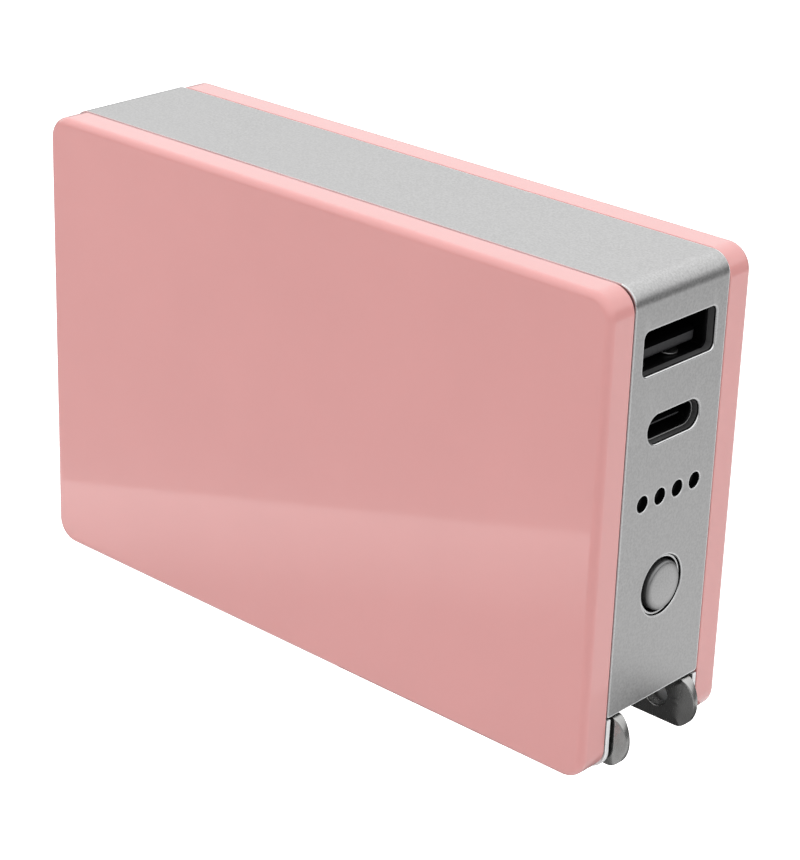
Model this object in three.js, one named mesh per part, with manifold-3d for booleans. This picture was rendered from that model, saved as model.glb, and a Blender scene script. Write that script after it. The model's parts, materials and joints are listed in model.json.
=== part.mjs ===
// Pocket power bank with a fold-out two-blade mains plug in its lower right corner,
// one USB-A port, one USB-C port, four charge lights and a push button on the right end.
// Millimetres, +Z up. X is the long side, Y the thickness (front is -Y), Z the height.
// The origin is the centre of the bottom of the whole object with the plug folded.
import * as THREE from "three";
import { mergeVertices } from "three/addons/utils/BufferGeometryUtils.js";
import Module from "manifold-3d";

const wasm = await Module();
wasm.setup();

// ---------------------------------------------------------------- driving sizes
const LENGTH = 88.8;
const THICKNESS = 25.0;
const HEIGHT = 57.9;
const TIP_PROUD = 1.7; // folded blade tips stand this far past the right end
const RIGHT_X = LENGTH / 2 - TIP_PROUD / 2;
const LEFT_X = RIGHT_X - LENGTH;
const FAR = 100; // cutting boxes reach this far, beyond the whole body

const BAND = { halfY: 8.3, wall: 1.25, r: 2.4 };
const PANEL_INNER_X = RIGHT_X - BAND.wall;
const PANEL_BOTTOM = 6.82; // the end panel stops here, the plug bay is below
const SEAM = 0.25; // between band and shell
const SHELL = { fromY: BAND.halfY + SEAM, face: 1.6, rim: 1.7, r: 3.0, edgeR: 0.95 };
const SHELL_INNER_Y = THICKNESS / 2 - SHELL.face;

const USB_A = { z: 49.9, w: 12.8, h: 5.15, r: 0.8 };
const USB_C = { z: 40.5, w: 9.3, h: 3.48 };
const LED = { z: 32.1, pitch: 3.13, holeR: 0.98, lensR: 0.92 };
const LED_Y = [-1.5, -0.5, 0.5, 1.5].map((step) => step * LED.pitch);
const BUTTON = { z: 20.7, r: 2.95, holeR: 3.65, proud: 0.42 };

const BLADE = { t: 1.5, h: 6.35, reach: 20.4, spacing: 12.7, holeR: 1.6, holeIn: 5.3 };
const BLADE_ROWS = [
  ["front", -BLADE.spacing / 2],
  ["back", BLADE.spacing / 2],
];
const PIVOT = { x: RIGHT_X + TIP_PROUD - BLADE.reach, z: 3.4 };
const TRUNNION = { r: 1.3, boreR: 1.36, halfY: 8.1 };
const CARRIER_HALF = 3.2;

const BAY = { x0: 17.5, top: 12.5, sideWall: 0.65, wall: 1, pocketX: 33, ceiling: 7.9 };

const PORT_BOARD = { x0: 28.9, x1: 30.5 }; // stands across the body, parallel to the end panel
const PORT_MOUNT_X = PORT_BOARD.x1 + 0.05; // parts on the port board start here
const POWER_BOARD = { y0: -7.6, y1: -6.0 }; // lies parallel to the front shell
const POWER_MOUNT_Y = POWER_BOARD.y1 + 0.2; // parts on the power board start here
const PILOT_R = 0.85; // screw hole in a post
const CLEARANCE_R = 1.0; // screw hole in a board
// Power board screws, (x, z)
const POWER_SCREWS = [
  [11.4, 16.9],
  [25.0, 16.9],
  [11.4, 53.0],
  [25.0, 53.0],
];
// Port board screws, (y, z)
const PORT_SCREWS = [
  [4.7, 27.0],
  [-5.0, 14.9],
];

// ---------------------------------------------------------------- materials
// name: [colour, roughness, metalness]
const FINISHES = {
  pink_gloss: [0xdba09e, 0.12, 0.0],
  satin_metal: [0xb4b5b5, 0.38, 1.0],
  white_plastic: [0xe6e7e8, 0.4, 0.0],
  black_plastic: [0x191a1c, 0.5, 0.0],
  dark_lens: [0x0b0b0d, 0.15, 0.0],
  nickel: [0xc9c7c2, 0.16, 1.0],
  spring_bronze: [0xb98a4e, 0.3, 1.0],
  gold: [0xd9b45a, 0.25, 1.0],
  steel: [0xb9bbbd, 0.3, 1.0],
  board_green: [0x1f5a38, 0.45, 0.0],
  ferrite: [0x3a3c40, 0.7, 0.0],
  tape_yellow: [0xd8b23a, 0.4, 0.0],
  can_blue: [0x25345c, 0.35, 0.0],
  chip_black: [0x17181a, 0.55, 0.0],
  fuse_tan: [0xa9814f, 0.5, 0.0],
  pouch: [0xb9bec4, 0.35, 1.0],
  foam_grey: [0x4a4c50, 0.95, 0.0],
  sheet_amber: [0xc98a2c, 0.4, 0.0],
  led_white: [0xf2ead2, 0.35, 0.0],
  wire_red: [0xb5201d, 0.45, 0.0],
  wire_black: [0x161617, 0.45, 0.0],
  wire_blue: [0x23479c, 0.45, 0.0],
};
const materials = {};
for (const [name, [color, roughness, metalness]] of Object.entries(FINISHES)) {
  const settings = { name, color, roughness, metalness, flatShading: true };
  materials[name] = new THREE.MeshStandardMaterial(settings);
}

// ---------------------------------------------------------------- solids and meshes
const vec3 = (x, y, z) => new THREE.Vector3(x, y, z);

// A closed three.js geometry as a solid, with its faces turned outward.
function solid(geometry) {
  geometry.deleteAttribute("normal");
  geometry.deleteAttribute("uv");
  const merged = mergeVertices(geometry, 1e-4);
  const positions = merged.attributes.position.array;
  const index = merged.index.array;
  const corner = (i) => vec3(...positions.subarray(3 * i, 3 * i + 3));
  const triangles = [];
  let volume = 0;
  for (let k = 0; k < index.length; k += 3) {
    const [a, b, c] = index.subarray(k, k + 3);
    if (a === b || b === c || c === a) continue;
    triangles.push(a, b, c);
    volume += corner(a).dot(corner(b).cross(corner(c)));
  }
  if (volume < 0) triangles.reverse();
  const triVerts = new Uint32Array(triangles);
  return new wasm.Manifold(new wasm.Mesh({ numProp: 3, vertProperties: positions, triVerts }));
}
const join = (...parts) => parts.reduce((a, b) => a.add(b));
const cut = (body, ...tools) => tools.reduce((a, b) => a.subtract(b), body);

function piece(name, body, material) {
  const { vertProperties, triVerts } = body.getMesh();
  const geometry = new THREE.BufferGeometry();
  const positions = new Float32Array(vertProperties);
  geometry.setAttribute("position", new THREE.BufferAttribute(positions, 3));
  geometry.setIndex(new THREE.BufferAttribute(new Uint32Array(triVerts), 1));
  geometry.computeVertexNormals();
  const mesh = new THREE.Mesh(geometry, materials[material]);
  mesh.name = name;
  return mesh;
}
const group = (...children) => new THREE.Group().add(...children);

// ---------------------------------------------------------------- outlines
function roundRect(a0, b0, a1, b1, r) {
  const shape = new THREE.Shape();
  shape.absarc(a1 - r, b0 + r, r, -Math.PI / 2, 0, false);
  shape.absarc(a1 - r, b1 - r, r, 0, Math.PI / 2, false);
  shape.absarc(a0 + r, b1 - r, r, Math.PI / 2, Math.PI, false);
  shape.absarc(a0 + r, b0 + r, r, Math.PI, 1.5 * Math.PI, false);
  shape.closePath();
  return shape;
}
// Port outlines in (y, z), centred on y = 0
const portRect = ({ z, w, h, r }) => roundRect(-w / 2, z - h / 2, w / 2, z + h / 2, r);
const stadium = ({ z, w, h }) => portRect({ z, w, h, r: h / 2 - 0.001 });
// The body's side outline, moved inward
const inset = (d, r) => roundRect(LEFT_X + d, d, RIGHT_X - d, HEIGHT - d, r);

const polygon = (points) => new THREE.Shape(points.map(([a, b]) => new THREE.Vector2(a, b)));
function disc(a, b, r, sides) {
  const points = [];
  for (let i = 0; i < sides; i++) {
    const angle = (2 * Math.PI * (i + 0.5)) / sides;
    points.push([a + r * Math.cos(angle), b + r * Math.sin(angle)]);
  }
  return polygon(points);
}

// ---------------------------------------------------------------- basic bodies
function box(x0, x1, y0, y1, z0, z1) {
  const geometry = new THREE.BoxGeometry(x1 - x0, y1 - y0, z1 - z0);
  geometry.translate((x0 + x1) / 2, (y0 + y1) / 2, (z0 + z1) / 2);
  return solid(geometry);
}

// Prisms of an outline: alongX takes (y, z), alongY takes (x, z), alongZ takes (x, y).
const prism = (shape, depth, curveSegments) =>
  new THREE.ExtrudeGeometry(shape, { depth, bevelEnabled: false, curveSegments });
function alongX(shape, x0, x1, segments = 8) {
  const geometry = prism(shape, x1 - x0, segments);
  const axes = new THREE.Matrix4().makeBasis(vec3(0, 1, 0), vec3(0, 0, 1), vec3(1, 0, 0));
  geometry.applyMatrix4(axes);
  geometry.translate(x0, 0, 0);
  return solid(geometry);
}
function alongY(shape, y0, y1, segments = 8) {
  const geometry = prism(shape, y1 - y0, segments);
  geometry.rotateX(Math.PI / 2);
  geometry.translate(0, y1, 0);
  return solid(geometry);
}
function alongZ(shape, z0, z1) {
  const geometry = prism(shape, z1 - z0, 8);
  geometry.translate(0, 0, z0);
  return solid(geometry);
}

// A body of revolution whose profile lists (radius, height) from axis to axis.
const AXIS_TURN = { x: -Math.PI / 2, y: 0, "-x": Math.PI / 2 };
function turned(profile, axis, at, sides) {
  const points = profile.map(([r, h]) => new THREE.Vector2(r, h));
  const geometry = new THREE.LatheGeometry(points, sides);
  geometry.rotateZ(AXIS_TURN[axis]);
  geometry.translate(...at);
  return solid(geometry);
}

// A round cable along a smooth path.
function cable(points, r) {
  const extrudePath = new THREE.CatmullRomCurve3(points.map((point) => vec3(...point)));
  return solid(new THREE.ExtrudeGeometry(disc(0, 0, r, 7), { steps: 9, extrudePath }));
}

// A Y range on the back (side 1), or its mirror image on the front (side -1)
const onSide = (side, near, far) => (side > 0 ? [near, far] : [-far, -near]);

// ---------------------------------------------------------------- enclosure
// Outer form: the side outline pushed through the thickness with rounded face edges.
function outerForm() {
  const { r, edgeR } = SHELL;
  const geometry = new THREE.ExtrudeGeometry(inset(0, r), {
    depth: THICKNESS - 2 * edgeR,
    bevelEnabled: true,
    bevelThickness: edgeR,
    bevelSize: edgeR,
    bevelOffset: -edgeR,
    bevelSegments: 3,
    curveSegments: 7,
  });
  geometry.rotateX(Math.PI / 2);
  geometry.translate(0, THICKNESS / 2 - edgeR, 0);
  return solid(geometry);
}

const LIP = { gap: 0.3, wall: 1.0, depth: 1.2, overlap: 0.6 };
const BAY_GAP = 0.7; // the lip stays this far from the plug bay
const RIBS = { x: [-28, -10, 8], halfX: 0.4, endIn: 5, proud: 0.12, root: 0.3 };

// The locating lip goes inside the band and is cut away round the plug bay.
function shellLip(side) {
  const { fromY } = SHELL;
  const outerIn = BAND.wall + LIP.gap;
  const lipY = onSide(side, fromY - LIP.depth, fromY + LIP.overlap);
  const boreY = onSide(side, fromY - 2, fromY + 1);
  // stops just short of the shell's edge, so that the shell is not cut
  const bayY = onSide(side, fromY - 2, fromY - 0.0001);
  return cut(
    alongY(inset(outerIn, 2.1), ...lipY, 5),
    alongY(inset(outerIn + LIP.wall, 1.2), ...boreY, 4),
    box(BAY.x0 - BAY_GAP, FAR, ...bayY, -FAR, BAY.top + BAY_GAP),
  );
}

// One shell: a shallow tray with a lip, and ribs across the inside of its face.
function shell(side) {
  const half = box(-FAR, FAR, ...onSide(side, SHELL.fromY, FAR), -FAR, FAR);
  const hollowY = onSide(side, SHELL.fromY - 1, SHELL_INNER_Y);
  const ribY = onSide(side, SHELL_INNER_Y - RIBS.proud, SHELL_INNER_Y + RIBS.root);
  return join(
    cut(outerForm().intersect(half), alongY(inset(SHELL.rim, 2.6), ...hollowY, 5)),
    shellLip(side),
    ...RIBS.x.map((x) =>
      box(x - RIBS.halfX, x + RIBS.halfX, ...ribY, RIBS.endIn, HEIGHT - RIBS.endIn),
    ),
  );
}

// The front shell also carries the screw posts of the power board.
function frontShell() {
  const boardY = POWER_BOARD.y0;
  const posts = POWER_SCREWS.map(([x, z]) =>
    alongY(disc(x, z, 2.0, 14), -SHELL_INNER_Y - 0.3, boardY - 0.15),
  );
  const holes = POWER_SCREWS.map(([x, z]) =>
    alongY(disc(x, z, PILOT_R, 12), -10.5, boardY + 0.5),
  );
  return cut(join(shell(-1), ...posts), ...holes);
}

// Metal band: bottom, left end, top and the end panel in one C-shaped strip.
function middleFrame() {
  const { halfY, wall, r } = BAND;
  const openY = [-halfY - 1, halfY + 1];
  const panelCut = (shape, segments) =>
    alongX(shape, PANEL_INNER_X - 1, RIGHT_X + 1, segments);
  const strip = cut(
    alongY(inset(0, r), -halfY, halfY, 9),
    alongY(inset(wall, r - wall), ...openY, 7),
    box(BAY.x0 - 0.3, FAR, ...openY, -FAR, PANEL_BOTTOM),
    panelCut(portRect(USB_A), 4),
    panelCut(stadium(USB_C), 7),
    panelCut(disc(0, BUTTON.z, BUTTON.holeR, 32)),
    ...LED_Y.map((y) => panelCut(disc(y, LED.z, LED.holeR, 16))),
  );
  const boardX = PORT_BOARD.x1;
  const posts = PORT_SCREWS.map(([y, z]) =>
    alongX(disc(y, z, 1.5, 12), boardX + 0.2, PANEL_INNER_X + 0.2),
  );
  const holes = PORT_SCREWS.map(([y, z]) =>
    alongX(disc(y, z, PILOT_R, 12), boardX - 1, boardX + 5.5),
  );
  return cut(join(strip, ...posts), ...holes);
}

// Side wall of the plug bay, (x, z)
function baySide() {
  const panelX = RIGHT_X - 1.6;
  const lipTop = PANEL_BOTTOM - 0.3;
  const shape = new THREE.Shape();
  shape.moveTo(BAY.x0, 0);
  shape.lineTo(RIGHT_X - BAND.r, 0);
  shape.absarc(RIGHT_X - BAND.r, BAND.r, BAND.r, -Math.PI / 2, 0, false);
  shape.lineTo(RIGHT_X, lipTop);
  shape.lineTo(panelX, lipTop);
  shape.lineTo(panelX, BAY.ceiling);
  shape.lineTo(BAY.pocketX, BAY.ceiling);
  shape.lineTo(BAY.pocketX, BAY.top);
  shape.lineTo(BAY.x0, BAY.top);
  shape.closePath();
  return shape;
}

function plugBay() {
  const { x0, top, wall, pocketX, ceiling } = BAY;
  const { halfY } = BAND;
  const innerY = halfY - BAY.sideWall;
  const acrossY = [-halfY, halfY];
  const walls = join(
    alongY(baySide(), -halfY, -innerY, 9),
    alongY(baySide(), innerY, halfY, 9),
    box(pocketX - wall, RIGHT_X - 1.6, ...acrossY, ceiling - wall, ceiling), // over the blades
    box(pocketX - wall, pocketX, ...acrossY, ceiling - wall, top),
    box(x0, pocketX, ...acrossY, top - wall, top),
    box(x0, x0 + wall, ...acrossY, 0, top),
    box(x0, 20.9, ...acrossY, 0, 1.2), // floor left of the carrier
  );
  const bore = disc(PIVOT.x, PIVOT.z, TRUNNION.boreR, 24);
  return cut(
    walls,
    alongY(bore, -halfY - 1, halfY + 1),
    // slots for the contact springs
    ...BLADE_ROWS.map(([, y]) => box(x0 - 1, x0 + 2, y - 1.15, y + 1.15, 8.6, 9.7)),
  );
}

// Centre line of a contact spring, (x, z)
const CONTACT_LINE = [[15.4, 9.1], [22.4, 9.1], [PIVOT.x, 8.66], [27.2, 9.1], [28.4, 9.8]];
const SPRING_T = 0.3;

// Leaf spring that carries the mains current from a blade heel.
function contactSpring(y) {
  const upper = CONTACT_LINE.map(([x, z]) => [x, z + SPRING_T / 2]);
  const lower = CONTACT_LINE.map(([x, z]) => [x, z - SPRING_T / 2]).reverse();
  return alongY(polygon([...lower, ...upper]), y - 0.8, y + 0.8);
}

// Upright leaf that holds the plug at its stops.
function detentSpring() {
  const leafX = PIVOT.x - CARRIER_HALF - 0.12;
  return join(
    box(leafX - SPRING_T, leafX, -1.7, 1.7, 1.7, 11.0),
    box(leafX - 2.2, leafX, -1.7, 1.7, 10.7, 11.3),
  );
}

const enclosure = group(
  piece("front_shell", frontShell(), "pink_gloss"),
  piece("back_shell", shell(1), "pink_gloss"),
  piece("middle_frame", middleFrame(), "satin_metal"),
  piece("plug_bay", plugBay(), "white_plastic"),
  ...BLADE_ROWS.map(([name, y]) =>
    piece(`contact_spring_${name}`, contactSpring(y), "spring_bronze"),
  ),
  piece("detent_spring", detentSpring(), "spring_bronze"),
);

// ---------------------------------------------------------------- folding plug
// Drawn about its own pivot, with the blades pointing to +X.
const PIN = { x: -2.5, r: 0.55, holeR: 0.65, halfY: 6.9 }; // cross pin through the blade heels

function plugCarrier() {
  const half = CARRIER_HALF;
  const block = roundRect(-half, -half, half, half, 1.0);
  const flat = 2.75; // the round middle is flattened on its left and lower sides
  return cut(
    join(
      alongY(block, -5.5, -2.0, 3),
      alongY(block, 2.0, 5.5, 3),
      alongY(disc(0, 0, half, 28), -2.2, 2.2),
      alongY(disc(0, 0, TRUNNION.r, 24), -TRUNNION.halfY, TRUNNION.halfY),
      alongY(disc(PIN.x, 0, PIN.r, 10), -PIN.halfY, PIN.halfY),
    ),
    box(-4, -flat, -2.0, 2.0, -4, 4),
    box(-4, 4, -2.0, 2.0, -4, -flat),
  );
}

// Blade outline, (x, z): straight bar, bullet nose, round root and contact heel.
function bladeOutline() {
  const half = BLADE.h / 2;
  const noseR = 3.9;
  const softR = 1.9; // rounds the corners between the nose and the straight edges
  const noseX = BLADE.reach - noseR;
  const softX = noseX + Math.sqrt((noseR - softR) ** 2 - (half - softR) ** 2);
  const noseAngle = Math.atan2(half - softR, softX - noseX);
  const heelX = -4.6;
  const heelAngle = 0.5; // where the heel leaves the round root, from -X
  const heelHalf = half * Math.sin(Math.PI - heelAngle);
  const shape = new THREE.Shape();
  shape.moveTo(0, -half);
  shape.lineTo(softX, -half);
  shape.absarc(softX, softR - half, softR, -Math.PI / 2, -noseAngle, false);
  shape.absarc(noseX, 0, noseR, -noseAngle, noseAngle, false);
  shape.absarc(softX, half - softR, softR, noseAngle, Math.PI / 2, false);
  shape.lineTo(0, half);
  shape.absarc(0, 0, half, Math.PI / 2, Math.PI - heelAngle, false);
  shape.lineTo(heelX, heelHalf);
  shape.lineTo(heelX, -heelHalf);
  shape.absarc(0, 0, half, Math.PI + heelAngle, 1.5 * Math.PI, false);
  shape.closePath();
  return shape;
}

// Cuts the bevelled flat on one face of the nose; side is the way that face looks in Y.
function noseBevel(faceY, side) {
  const x0 = BLADE.reach - 1.6;
  const x1 = BLADE.reach + 1;
  const wedge = [[x0, faceY], [x1, faceY - side * 0.65], [x1, faceY + side], [x0, faceY + side]];
  return alongZ(polygon(wedge), -5, 5);
}

function blade(y) {
  const y0 = y - BLADE.t / 2;
  const y1 = y + BLADE.t / 2;
  const hole = (x, r, sides) => alongY(disc(x, 0, r, sides), y0 - 1, y1 + 1);
  return cut(
    alongY(bladeOutline(), y0, y1, 8),
    noseBevel(y1, 1),
    noseBevel(y0, -1),
    hole(BLADE.reach - BLADE.holeIn, BLADE.holeR, 20),
    hole(0, TRUNNION.r + 0.1, 24),
    hole(PIN.x, PIN.holeR, 10),
  );
}

const plug = group(
  piece("plug_carrier", plugCarrier(), "black_plastic"),
  ...BLADE_ROWS.map(([name, y]) => piece(`blade_${name}`, blade(y), "nickel")),
);
plug.position.set(PIVOT.x, 0, PIVOT.z);

// ---------------------------------------------------------------- controls and ports
// Slightly domed cap, with a flange that stops it behind the panel and a stem.
function powerButton() {
  const { r, proud, z } = BUTTON;
  const stem = { r: 1.2, x: 38.7 };
  const flange = { r: 4.5, x0: PANEL_INNER_X - 0.9, x1: PANEL_INNER_X - 0.1 };
  const profile = [
    [0, stem.x],
    [stem.r, stem.x],
    [stem.r, flange.x0],
    [flange.r, flange.x0],
    [flange.r, flange.x1],
    [r, flange.x1],
    [r, RIGHT_X + 0.08],
    [r - 0.08, RIGHT_X + 0.24],
    [r - 0.28, RIGHT_X + 0.34],
    [2.0, RIGHT_X + 0.38],
    [1.0, RIGHT_X + 0.41],
    [0, RIGHT_X + proud],
  ];
  return turned(profile, "x", [0, 0, z], 32);
}

function switchBody() {
  const { z } = BUTTON;
  const bore = alongX(disc(0, z, 1.85, 16), 31.6, 36);
  return cut(box(PORT_MOUNT_X, 34.0, -3, 3, z - 3, z + 3), bore);
}
const switchPlunger = () => alongX(disc(0, BUTTON.z, 1.7, 16), 32.4, 38.6);

// USB-A receptacle: sheet-metal tube with a plastic tongue and four contacts.
const TUBE_BACK = 0.4; // back wall of either receptacle
const A_TONGUE = { z0: USB_A.z - 1.74, z1: USB_A.z - 0.04 };
const A_CONTACT_Y = [-3.5, -1.0, 1.0, 3.5];

function usbAShell() {
  const { z } = USB_A;
  // latch window in the lower wall
  const latch = (y0, y1) => box(34, 40.6, y0, y1, z - 4, z - 2.4);
  const outer = portRect({ z, w: 13.1, h: 5.72, r: 0.6 });
  const inner = portRect({ z, w: 12.5, h: 5.12, r: 0.3 });
  return cut(
    alongX(outer, PORT_MOUNT_X, PANEL_INNER_X - 0.1, 2),
    alongX(inner, PORT_MOUNT_X + TUBE_BACK, PANEL_INNER_X + 1, 2),
    latch(0.9, 3.7),
    latch(-3.7, -0.9),
  );
}

function usbATongue() {
  const { z } = USB_A;
  const { z0, z1 } = A_TONGUE;
  return join(
    box(PORT_MOUNT_X + 0.5, 32.6, -6.15, 6.15, z - 2.46, z + 2.46),
    box(32.5, RIGHT_X - 2.3, -5.55, 5.55, z0, z1),
    box(RIGHT_X - 2.35, RIGHT_X - 1.9, -5.4, 5.4, z0 + 0.3, z1 - 0.3),
  );
}

function usbAContact(y) {
  const top = A_TONGUE.z1;
  return box(32.7, RIGHT_X - 4.4, y - 0.5, y + 0.5, top + 0.03, top + 0.28);
}

// USB-C receptacle: rounded tube with a thin centre tongue.
function usbCShell() {
  const { z } = USB_C;
  return cut(
    alongX(stadium({ z, w: 8.94, h: 3.16 }), PORT_MOUNT_X, RIGHT_X - 0.9, 6),
    alongX(stadium({ z, w: 8.34, h: 2.56 }), PORT_MOUNT_X + TUBE_BACK, RIGHT_X, 6),
  );
}

function usbCTongue() {
  const { z } = USB_C;
  return join(
    alongX(stadium({ z, w: 8.2, h: 2.42 }), PORT_MOUNT_X + 0.5, 33.6, 4),
    box(33.5, RIGHT_X - 1.7, -3.34, 3.34, z - 0.35, z + 0.35),
  );
}

// Charge lights: a dark light pipe for each, with its chip behind it.
const ledWindow = (y) => alongX(disc(y, LED.z, LED.lensR, 12), 31.5, RIGHT_X - 0.12);
const ledChip = (y) =>
  box(PORT_MOUNT_X, PORT_MOUNT_X + 0.65, y - 0.8, y + 0.8, LED.z - 0.4, LED.z + 0.4);

const ports = group(
  piece("power_button", powerButton(), "satin_metal"),
  piece("switch_body", switchBody(), "chip_black"),
  piece("switch_plunger", switchPlunger(), "black_plastic"),
  piece("usb_a_shell", usbAShell(), "nickel"),
  piece("usb_a_tongue", usbATongue(), "black_plastic"),
  ...A_CONTACT_Y.map((y, i) => piece(`usb_a_contact_${i + 1}`, usbAContact(y), "gold")),
  piece("usb_c_shell", usbCShell(), "nickel"),
  piece("usb_c_tongue", usbCTongue(), "black_plastic"),
  ...LED_Y.flatMap((y, i) => [
    piece(`led_window_${i + 1}`, ledWindow(y), "dark_lens"),
    piece(`led_chip_${i + 1}`, ledChip(y), "led_white"),
  ]),
);

// ---------------------------------------------------------------- boards and screws
function portBoard() {
  const { x0, x1 } = PORT_BOARD;
  return cut(
    alongX(roundRect(-7.0, 13.6, 7.0, 54.6, 0.8), x0, x1, 3),
    ...PORT_SCREWS.map(([y, z]) => alongX(disc(y, z, CLEARANCE_R, 12), x0 - 0.9, x1 + 0.5)),
  );
}

function powerBoard() {
  const { y0, y1 } = POWER_BOARD;
  return cut(
    alongY(roundRect(8.6, 14.6, 27.6, 55.2, 0.8), y0, y1, 3),
    ...POWER_SCREWS.map(([x, z]) => alongY(disc(x, z, CLEARANCE_R, 12), y0 - 0.4, y1 + 1)),
  );
}

const insulationSheet = () => alongY(roundRect(8.8, 19.6, 27.4, 50.4, 1.0), -8.2, -7.9, 3);

// Screws with a slotted pan head; height 0 is the underside of the head.
const screwProfile = (shaft) => [
  [0, -shaft],
  [0.5, -shaft],
  [0.8, -shaft + 0.5],
  [0.8, 0],
  [1.45, 0],
  [1.45, 0.55],
  [1.1, 0.9],
  [0, 0.9],
];
const SLOT = { floor: 0.5, halfZ: 0.2 };

function powerBoardScrew([x, z]) {
  const y = POWER_BOARD.y1 + 0.05;
  return cut(
    turned(screwProfile(4.3), "y", [x, y, z], 10),
    box(x - 2, x + 2, y + SLOT.floor, y + 2, z - SLOT.halfZ, z + SLOT.halfZ),
  );
}

function portBoardScrew([y, z]) {
  const x = PORT_BOARD.x0 - 0.05;
  return cut(
    turned(screwProfile(5.5), "-x", [x, y, z], 10),
    box(x - 2, x - SLOT.floor, y - 2, y + 2, z - SLOT.halfZ, z + SLOT.halfZ),
  );
}

// ---------------------------------------------------------------- mains converter
const TRANSFORMER = { x: 18.1, y: 0.5, z: 26.3 }; // centre of the core
const CAPACITORS = { x: [13.2, 22.4], z: 38.4 };

function transformerCore() {
  const { x, y, z } = TRANSFORMER;
  return cut(
    box(x - 7.5, x + 7.5, y - 3, y + 3, z - 6.7, z + 6.7),
    box(x - 5, x + 5, y - 5, y + 5, z - 4.3, z - 2),
    box(x - 5, x + 5, y - 5, y + 5, z + 2, z + 4.3),
  );
}

function transformerWinding() {
  const { x, y, z } = TRANSFORMER;
  return cut(
    alongX(roundRect(POWER_MOUNT_Y, z - 4, 6.2, z + 4, 2.0), x - 4.7, x + 4.7, 4),
    box(x - 6, x + 6, y - 3.3, y + 3.3, z - 2.3, z + 2.3),
  );
}

// Profile heights of the capacitor and drum start from the power board's mount plane.
const onPowerBoard = (profile, x, z) => turned(profile, "y", [x, POWER_MOUNT_Y, z], 16);

function bulkCapacitor(x) {
  const profile = [
    [0, 0],
    [3.7, 0],
    [3.95, 0.3],
    [3.95, 1.3],
    [3.7, 1.6],
    [3.7, 1.9],
    [3.95, 2.2],
    [3.95, 11.8],
    [3.6, 12.1],
    [0, 12.1],
  ];
  return onPowerBoard(profile, x, CAPACITORS.z);
}

function drumInductor() {
  const profile = [
    [0, 0],
    [3.4, 0],
    [3.4, 1.0],
    [2.7, 1.1],
    [2.7, 4.4],
    [3.4, 4.5],
    [3.4, 5.4],
    [0, 5.4],
  ];
  return onPowerBoard(profile, 14.2, 46.6);
}

const powerInductor = () =>
  alongY(roundRect(18.8, 43.4, 25.6, 50.2, 1.2), POWER_MOUNT_Y, -1.8, 3);
const controllerChip = () =>
  box(15.4, 21.6, POWER_MOUNT_Y, POWER_MOUNT_Y + 1.1, 51.2, 54.4);

// Tube between two wider end caps; profile heights are x.
function fuse() {
  const profile = [
    [0, 17.6],
    [1.3, 17.6],
    [1.3, 19.0],
    [1.15, 19.1],
    [1.15, 21.5],
    [1.3, 21.6],
    [1.3, 22.9],
    [0, 22.9],
  ];
  return turned(profile, "x", [0, -4.3, 16.9], 12);
}

const boardHeader = () =>
  cut(box(26.6, 28.6, POWER_MOUNT_Y, -3.2, 33.5, 46), box(26, 27.4, -4.6, -3, 34.2, 45.3));

// ---------------------------------------------------------------- battery
// Two pouch cells with foam between and around them, and their protection board.
function batteryCell(side) {
  const [y0, y1] = onSide(side, 0.7, 9.9);
  const middleY = (y0 + y1) / 2;
  return join(
    alongX(roundRect(y0, 4.0, y1, 54.0, 1.6), -41.8, 3.0, 5),
    box(2.8, 6.2, middleY - 0.6, middleY + 0.6, 8, 50),
  );
}
const centrePad = () => box(-40, 1.0, -0.5, 0.5, 7, 51);
const outerPad = (side) => box(-26.6, -11.4, ...onSide(side, 10.05, 10.6), 12, 46);
const protectionBoard = () => alongX(roundRect(-5.6, 12, 5.6, 46, 0.6), 6.5, 7.5, 3);

const electronics = group(
  piece("port_board", portBoard(), "board_green"),
  piece("power_board", powerBoard(), "board_green"),
  piece("insulation_sheet", insulationSheet(), "sheet_amber"),
  ...POWER_SCREWS.map((at, i) =>
    piece(`power_board_screw_${i + 1}`, powerBoardScrew(at), "steel"),
  ),
  ...PORT_SCREWS.map((at, i) => piece(`port_board_screw_${i + 1}`, portBoardScrew(at), "steel")),
  piece("transformer_core", transformerCore(), "ferrite"),
  piece("transformer_winding", transformerWinding(), "tape_yellow"),
  ...CAPACITORS.x.map((x, i) => piece(`bulk_capacitor_${i + 1}`, bulkCapacitor(x), "can_blue")),
  piece("drum_inductor", drumInductor(), "ferrite"),
  piece("power_inductor", powerInductor(), "ferrite"),
  piece("controller_chip", controllerChip(), "chip_black"),
  piece("fuse", fuse(), "fuse_tan"),
  piece("board_header", boardHeader(), "black_plastic"),
  piece("battery_cell_front", batteryCell(-1), "pouch"),
  piece("battery_cell_back", batteryCell(1), "pouch"),
  piece("foam_pad_centre", centrePad(), "foam_grey"),
  piece("foam_pad_front", outerPad(-1), "foam_grey"),
  piece("foam_pad_back", outerPad(1), "foam_grey"),
  piece("protection_board", protectionBoard(), "board_green"),
);

// ---------------------------------------------------------------- wires
// name, material, radius, path points (x, y, z)
const WIRES = [
  ["battery_lead_red", "wire_red", 0.5,
    [[8.25, 2.6, 44.5], [8.5, 0.4, 47.0], [8.9, -3.2, 48.2], [9.6, -5.2, 48.4]]],
  ["battery_lead_black", "wire_black", 0.5,
    [[8.25, -1.0, 43.0], [8.6, -2.6, 44.6], [9.2, -4.0, 45.2], [9.6, -5.2, 45.2]]],
  ["ac_lead_front", "wire_black", 0.55,
    [[15.9, -6.35, 9.95], [15.4, -5.6, 12.0], [14.8, -5.1, 14.0], [14.2, -5.1, 17.6]]],
  ["ac_lead_back", "wire_blue", 0.55,
    [[15.9, 6.35, 9.95], [15.8, 3.0, 13.4], [16.0, -2.4, 14.4], [16.2, -4.9, 17.0]]],
];
const wires = group(
  ...WIRES.map(([name, material, r, path]) => piece(name, cable(path, r), material)),
);

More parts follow.
